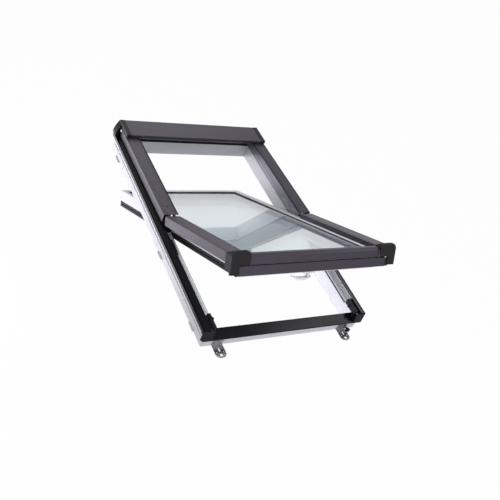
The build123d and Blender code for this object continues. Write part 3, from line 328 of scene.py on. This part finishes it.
def black_plastic():
    """Charcoal moulded plastic with a fine grain."""
    material, shader = new_material("black_plastic", 0.5, specular=0.11)
    grain = place_group(material, GRAIN, Scale=1100.0, Fleck=0.8)
    dust = place_group(material, DUST, Scale=14.0, Amount=0.4)
    vary_colour(material, shader, dust.outputs["Mask"], low=(0.011, 0.010, 0.012), high=(0.026, 0.023, 0.026))
    vary_roughness(material, shader, grain.outputs["Height"], base=0.34, spread=0.22)
    add_bump(material, shader, grain.outputs["Height"], strength=0.25, distance=0.0004)
    return material


def seal_rubber():
    """Black extruded rubber with a dusty bloom."""
    material, shader = new_material("seal_rubber", 0.6, specular=0.15)
    dust = place_group(material, DUST, Scale=30.0, Amount=0.5)
    lines = place_group(material, LINES, Across=900.0, Along=12.0, Height_scale=900.0)
    vary_colour(material, shader, dust.outputs["Mask"], low=(0.004, 0.004, 0.005), high=(0.016, 0.016, 0.018))
    add_bump(material, shader, lines.outputs["Height"], strength=0.2, distance=0.0004)
    return material


def brushed_metal(name, dark, light, roughness, stretch, metallic=1.0):
    """Drawn or brushed metal; its lines run along the axis that is stretched by the least scale."""
    material, shader = new_material(name, roughness, metallic=metallic)
    across, along, height = stretch
    lines = place_group(material, LINES, Across=across, Along=along, Height_scale=height)
    shade = math_node(material.node_tree, "ADD", lines.outputs["Mask"], LINE_LEVEL)
    vary_colour(material, shader, shade, dark, light)
    vary_roughness(material, shader, lines.outputs["Height"], base=roughness - BRUSHED_DROP, spread=0.2)
    add_bump(material, shader, lines.outputs["Height"], strength=0.15, distance=0.0003)
    return material


def trim_grey():
    """Mid grey coated strips inside the frame."""
    material, shader = new_material("trim_grey", 0.35, metallic=0.2, specular=0.5)
    dust = place_group(material, DUST, Scale=8.0, Amount=0.5)
    vary_colour(material, shader, dust.outputs["Mask"], low=(0.135, 0.128, 0.155), high=(0.22, 0.21, 0.24))
    peel = place_group(material, GRAIN, Scale=1300.0, Fleck=0.4)
    add_bump(material, shader, peel.outputs["Height"], strength=0.1, distance=0.0003)
    return material


def hinge_steel():
    """Black coated steel of the pivot hinges."""
    material, shader = new_material("hinge_steel", 0.35, metallic=0.4, specular=0.5)
    grain = place_group(material, GRAIN, Scale=1500.0, Fleck=0.6)
    vary_colour(material, shader, grain.outputs["Height"], low=(0.01, 0.01, 0.012), high=(0.03, 0.03, 0.034))
    add_bump(material, shader, grain.outputs["Height"], strength=0.2, distance=0.0003)
    return material


def glazing():
    """Clear float glass with a faint green-grey body and a slight film."""
    material, shader = new_material("glazing", 0.02, specular=0.5)
    shader.inputs["Transmission Weight"].default_value = 0.92
    shader.inputs["IOR"].default_value = 1.45
    dust = place_group(material, DUST, Scale=2.2, Amount=0.9)
    vary_colour(material, shader, dust.outputs["Mask"], low=(0.80, 0.86, 0.89), high=(0.90, 0.93, 0.96))
    vary_roughness(material, shader, dust.outputs["Mask"], base=0.0, spread=0.05)
    return material


def handle_finish():
    """Pale silver lacquer of the lever and its rosette."""
    material, shader = new_material("handle_finish", 0.3, metallic=0.35, specular=0.5, coat=0.3)
    grain = place_group(material, GRAIN, Scale=1800.0, Fleck=0.3)
    vary_colour(material, shader, grain.outputs["Height"], low=(0.60, 0.61, 0.64), high=(0.74, 0.75, 0.78))
    add_bump(material, shader, grain.outputs["Height"], strength=0.05, distance=0.0002)
    return material


def clip_plastic():
    """Pale grey moulded clips along the frame's sides."""
    material, shader = new_material("clip_plastic", 0.45)
    grain = place_group(material, GRAIN, Scale=1200.0, Fleck=0.5)
    vary_colour(material, shader, grain.outputs["Height"], low=(0.50, 0.50, 0.53), high=(0.62, 0.62, 0.66))
    add_bump(material, shader, grain.outputs["Height"], strength=0.2, distance=0.0003)
    return material


FINISHES = {
    "white_plastic": white_plastic(),
    "black_profile": black_profile(),
    "black_plastic": black_plastic(),
    "rail_metal": brushed_metal(
        "rail_metal", dark=(0.60, 0.60, 0.64), light=(0.86, 0.86, 0.89), roughness=0.36,
        stretch=(900.0, 10.0, 900.0), metallic=0.25,
    ),
    "seal_rubber": seal_rubber(),
    "cover_metal": cover_metal(),
    "trim_grey": trim_grey(),
    "zinc_steel": brushed_metal(
        "zinc_steel", dark=(0.06, 0.06, 0.07), light=(0.62, 0.62, 0.63), roughness=0.2,
        stretch=(90.0, 260.0, 90.0),
    ),
    "hinge_steel": hinge_steel(),
    "glazing": glazing(),
    "spacer_metal": brushed_metal(
        "spacer_metal", dark=(0.30, 0.31, 0.33), light=(0.60, 0.61, 0.64), roughness=0.35,
        stretch=(300.0, 300.0, 30.0),
    ),
    "side_clip_plastic": clip_plastic(),
    "handle_finish": handle_finish(),
}


# Pieces

def finish_piece(shape, name, body, slot_name):
    """A bmesh made into an object that rides on a body and takes a slot's finish."""
    mesh = bpy.data.meshes.new(name)
    shape.to_mesh(mesh)
    shape.free()
    piece = bpy.data.objects.new(name, mesh)
    bpy.context.scene.collection.objects.link(piece)
    mesh.materials.append(FINISHES[slot_name])
    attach(piece, body)
    return piece


def round_edges(shape, edges, width, segments=2):
    """Edges of a bmesh rounded over by a bevel of a width in metres, with the faces in a fixed order."""
    bmesh.ops.bevel(
        shape, geom=edges, offset=width, offset_type="OFFSET", affect="EDGES", segments=segments,
        profile=0.5, material=-1, clamp_overlap=True,
    )
    # A second bevel leaves the faces in an order that changes from run to run, so they are sorted.
    shape.verts.index_update()
    count = len(shape.verts)
    shape.faces.sort(key=lambda face: face.verts[0].index * count + face.verts[1].index)


def round_folds(shape):
    """A larger round along the long outer fold of a side cover, where its top meets its skirt."""
    outer = max(abs(vertex.co.x) for vertex in shape.verts)
    folds = []
    for edge in shape.edges:
        at_outer = min(abs(vertex.co.x) for vertex in edge.verts) > outer - FOLD_REACH
        broad = len(edge.link_faces) == 2 and min(face.calc_area() for face in edge.link_faces) > FOLD_AREA
        long_and_sharp = edge.calc_length() > FOLD_LENGTH and edge.calc_face_angle(0.0) > FOLD_ANGLE
        if at_outer and broad and long_and_sharp:
            folds.append(edge)
    round_edges(shape, folds, FOLD_ROUND, segments=4)


def rounded_copy(node, width):
    """A copy of a CAD node with its sharp edges rounded over, which stands for the node in the view."""
    shape = bmesh.new()
    shape.from_mesh(nodes[node].data)
    bmesh.ops.remove_doubles(shape, verts=shape.verts, dist=MERGE_REACH)
    bmesh.ops.dissolve_limit(
        shape, angle_limit=FLAT_ANGLE, verts=shape.verts, edges=shape.edges,
        use_dissolve_boundaries=False, delimit={"NORMAL"},
    )
    if node.startswith("side_cover"):
        round_folds(shape)
    sharp = []
    for edge in shape.edges:
        if len(edge.link_faces) == 2 and edge.calc_face_angle(0.0) > SHARP_ANGLE:
            sharp.append(edge)
    round_edges(shape, sharp, width * MM)
    for face in shape.faces:
        face.smooth = True
    piece = finish_piece(shape, f"{node}_shell", body_of[node], record_slots[node])
    keep_flat = piece.modifiers.new("weighted", "WEIGHTED_NORMAL")
    keep_flat.keep_sharp = True
    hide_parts(node)


for node, obj in nodes.items():
    obj.data.materials.clear()
    obj.data.materials.append(FINISHES[record_slots[node]])

for node, width in EDGE_ROUNDS.items():
    rounded_copy(node, width)


# Small parts that the plain solids leave out

def add_box(shape, low, high):
    """A box between two corners in metres, added to a bmesh; its vertices are given back."""
    low, high = Vector(low), Vector(high)
    made = bmesh.ops.create_cube(shape, size=1.0)["verts"]
    bmesh.ops.scale(shape, vec=high - low, verts=made)
    bmesh.ops.translate(shape, vec=(low + high) / 2, verts=made)
    return made


def edge_seal(side, sign):
    """A flat black seal along the inner edge of an upper cover, tilted as the cover is."""
    shape = bmesh.new()
    edge = sign * COVER_IN * MM
    low_x, high_x = sorted((edge - sign * SEAL_OVERHANG * MM, edge + sign * SEAL_WIDTH * MM))
    add_box(shape, (low_x, COVER_START * MM, 0.0), (high_x, COVER_END * MM, SEAL_HEIGHT * MM))
    round_edges(shape, shape.edges[:], SEAL_ROUND * MM)
    tilt = Matrix.Translation(frame_point(0, 0, 0)) @ Matrix.Rotation(-COVER_FALL, 4, "X")
    bmesh.ops.transform(shape, matrix=tilt, verts=shape.verts)
    finish_piece(shape, f"edge_seal_{side}", "frame", "seal_rubber")


def rail_ribs(side, sign):
    """Thin slanted ribs pressed up from a ledge between its stay block and its keep."""
    shape = bmesh.new()
    low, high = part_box(f"ledge_rail_{side}")
    half_long = (high[0] - low[0]) * RIB_SPAN / 2
    half_wide = RIB_WIDTH * MM / 2
    slant = Matrix.Rotation(sign * RIB_SLANT, 4, "Z")
    for step in range(RIB_COUNT):
        place = frame_point(0, -RIB_START - step * RIB_PITCH, 0)
        place.x = (low[0] + high[0]) / 2
        place.z = high[2]
        made = add_box(shape, (-half_long, -half_wide, -RIB_RISE * MM), (half_long, half_wide, RIB_RISE * MM))
        bmesh.ops.transform(shape, matrix=Matrix.Translation(place) @ slant, verts=made)
    finish_piece(shape, f"rail_ribs_{side}", "frame", "spacer_metal")


def rail_leg(side, sign):
    """The upright leg of a ledge, a thin light sheet along the inner face of the edge profile."""
    shape = bmesh.new()
    low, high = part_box(f"ledge_rail_{side}")
    outer = high[0] if sign > 0 else low[0]
    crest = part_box(f"edge_profile_{side}")[1][2]
    low_x, high_x = sorted((outer, outer - sign * LEG_SHEET * MM))
    low_y = low[1] + LEG_SHORT * MM
    high_y = frame_point(0, -LEG_FROM, 0).y
    add_box(shape, (low_x, low_y, high[2]), (high_x, high_y, crest - LEG_DROP * MM))
    round_edges(shape, shape.edges[:], LEG_ROUND * MM)
    finish_piece(shape, f"rail_leg_{side}", "frame", "rail_metal")


def band_tail(side, sign):
    """The end of the lower band's front sheet, which runs on behind the post of a corner cap."""
    shape = bmesh.new()
    low_x, high_x = sorted((sign * TAIL_FROM, sign * TAIL_TO))
    low = frame_point(low_x, -NOSE_FRONT, TAIL_LOW)
    high = frame_point(high_x, -NOSE_FRONT + NOSE_SHEET, TAIL_HIGH)
    add_box(shape, low, high)
    bmesh.ops.transform(shape, matrix=sash_turn(), verts=shape.verts)
    round_edges(shape, shape.edges[:], TAIL_ROUND * MM)
    finish_piece(shape, f"band_tail_{side}", "sash", "cover_metal")


def glass_gasket():
    """The lip of the rim seal, a black ring that stands on the outer pane along the bead."""
    closed = [sash_turn().inverted() @ vertex.co for vertex in nodes["rim_seal"].data.vertices]
    low = Vector([min(point[axis] for point in closed) for axis in range(3)])
    high = Vector([max(point[axis] for point in closed) for axis in range(3)])
    inset = Vector((GASKET_INSET * MM, GASKET_INSET * MM, 0.0))
    outer_low = low + inset
    outer_high = high - inset
    outer_high.z = low.z + GASKET_RISE * MM
    wide = GASKET_WIDTH * MM
    shape = bmesh.new()
    for low_y, high_y in ((outer_low.y, outer_low.y + wide), (outer_high.y - wide, outer_high.y)):
        add_box(shape, (outer_low.x, low_y, low.z), (outer_high.x, high_y, outer_high.z))
    for low_x, high_x in ((outer_low.x, outer_low.x + wide), (outer_high.x - wide, outer_high.x)):
        add_box(shape, (low_x, outer_low.y + wide, low.z), (high_x, outer_high.y - wide, outer_high.z))
    bmesh.ops.transform(shape, matrix=sash_turn(), verts=shape.verts)
    finish_piece(shape, "glass_gasket", "sash", "seal_rubber")


glass_gasket()
for side, sign in SIDES:
    edge_seal(side, sign)
    rail_ribs(side, sign)
    rail_leg(side, sign)
    band_tail(side, sign)


# Stage, light and camera

def seen_rays(tree):
    """One for rays from the camera, mirrored rays and rays through glass, and zero for the rest."""
    path = tree.nodes.new("ShaderNodeLightPath")
    seen = math_node(tree, "MAXIMUM", path.outputs["Is Camera Ray"], path.outputs["Is Glossy Ray"])
    return math_node(tree, "MAXIMUM", seen, path.outputs["Is Transmission Ray"])


def pale_stage():
    """A wide plain floor that shows near white to the camera and still keeps a faint shadow."""
    shape = bmesh.new()
    bmesh.ops.create_grid(shape, x_segments=1, y_segments=1, size=FLOOR_HALF)
    bmesh.ops.translate(shape, verts=shape.verts, vec=(0.0, 0.0, FLOOR_HEIGHT))
    mesh = bpy.data.meshes.new("floor")
    shape.to_mesh(mesh)
    shape.free()
    floor = bpy.data.objects.new("floor", mesh)
    bpy.context.scene.collection.objects.link(floor)
    material = bpy.data.materials.new("floor_white")
    material.use_nodes = True
    tree = material.node_tree
    shader = tree.nodes["Principled BSDF"]
    shader.inputs["Base Color"].default_value = (0.82, 0.82, 0.83, 1.0)
    shader.inputs["Roughness"].default_value = 0.9
    glow = tree.nodes.new("ShaderNodeEmission")
    glow.inputs["Color"].default_value = (*WHITE, 1.0)
    glow.inputs["Strength"].default_value = 1.0
    seen = seen_rays(tree)
    blend = tree.nodes.new("ShaderNodeMixShader")
    tree.links.new(math_node(tree, "MULTIPLY", seen, FLOOR_GLOW), blend.inputs[0])
    tree.links.new(shader.outputs[0], blend.inputs[1])
    tree.links.new(glow.outputs[0], blend.inputs[2])
    tree.links.new(blend.outputs[0], tree.nodes["Material Output"].inputs["Surface"])
    mesh.materials.append(material)


def studio_world():
    """A soft pale surround for the light, plain white where it is seen or mirrored."""
    world = bpy.data.worlds.new("studio")
    bpy.context.scene.world = world
    world.use_nodes = True
    tree = world.node_tree
    tree.nodes.clear()
    output = tree.nodes.new("ShaderNodeOutputWorld")
    soft = tree.nodes.new("ShaderNodeBackground")
    soft.inputs["Color"].default_value = (0.93, 0.94, 1.0, 1.0)
    soft.inputs["Strength"].default_value = 0.55
    white = tree.nodes.new("ShaderNodeBackground")
    white.inputs["Color"].default_value = (*WHITE, 1.0)
    white.inputs["Strength"].default_value = 1.0
    seen = seen_rays(tree)
    blend = tree.nodes.new("ShaderNodeMixShader")
    tree.links.new(seen, blend.inputs[0])
    tree.links.new(soft.outputs[0], blend.inputs[1])
    tree.links.new(white.outputs[0], blend.inputs[2])
    tree.links.new(blend.outputs[0], output.inputs["Surface"])


def soft_lamp(name, place, target, size, power, colour=WHITE, mirrored=True):
    """A square area lamp turned towards a target, seen in glossy and clear surfaces if mirrored."""
    lamp = bpy.data.lights.new(name, "AREA")
    lamp.shape = "SQUARE"
    lamp.size = size
    lamp.energy = power
    lamp.color = colour
    obj = bpy.data.objects.new(name, lamp)
    obj.location = place
    obj.rotation_euler = (Vector(target) - Vector(place)).to_track_quat("-Z", "Y").to_euler()
    obj.visible_camera = False
    obj.visible_glossy = mirrored
    obj.visible_transmission = mirrored
    bpy.context.scene.collection.objects.link(obj)


def photo_camera():
    """The camera at the place and turn from which the photograph was taken."""
    back = CAMERA_RIGHT.cross(CAMERA_UP).normalized()
    right = CAMERA_RIGHT.normalized()
    up = back.cross(right)
    turn = Matrix((right, up, back)).transposed().to_4x4()
    data = bpy.data.cameras.new("photo_camera")
    data.sensor_fit = "HORIZONTAL"
    data.sensor_width = SENSOR
    data.lens = FOCAL_PIXELS / PHOTO_PIXELS * SENSOR
    data.clip_end = CAMERA_REACH
    camera = bpy.data.objects.new("photo_camera", data)
    camera.matrix_world = Matrix.Translation(CAMERA_PLACE) @ turn
    bpy.context.scene.collection.objects.link(camera)
    bpy.context.scene.camera = camera


pale_stage()
studio_world()
soft_lamp("key", (-1.2, -0.8, 3.4), target=(0.0, 0.0, 0.1), size=2.2, power=45.0)
soft_lamp("fill", (0.6, -3.2, 1.6), target=(0.0, 0.2, 0.1), size=2.6, power=29.0, colour=(0.98, 0.98, 1.0))
soft_lamp("back", (0.6, 3.0, 2.2), target=(0.0, 0.0, 0.1), size=2.4, power=24.0)
soft_lamp("low_side", (-1.4, 1.65, -1.3), target=(-0.37, 0.1, 0.1), size=1.5, power=25.0, colour=SIDE_TINT)
soft_lamp("reveal", (-0.22, -0.35, -0.80), target=(0.37, -0.35, 0.0), size=0.5, power=12.0, mirrored=False)
soft_lamp("glint", (2.15, -0.72, 2.6), target=(0.2, -0.55, 0.06), size=0.9, power=14.0, colour=GLINT_TINT)
photo_camera()
bpy.context.scene.view_settings.view_transform = "Standard"
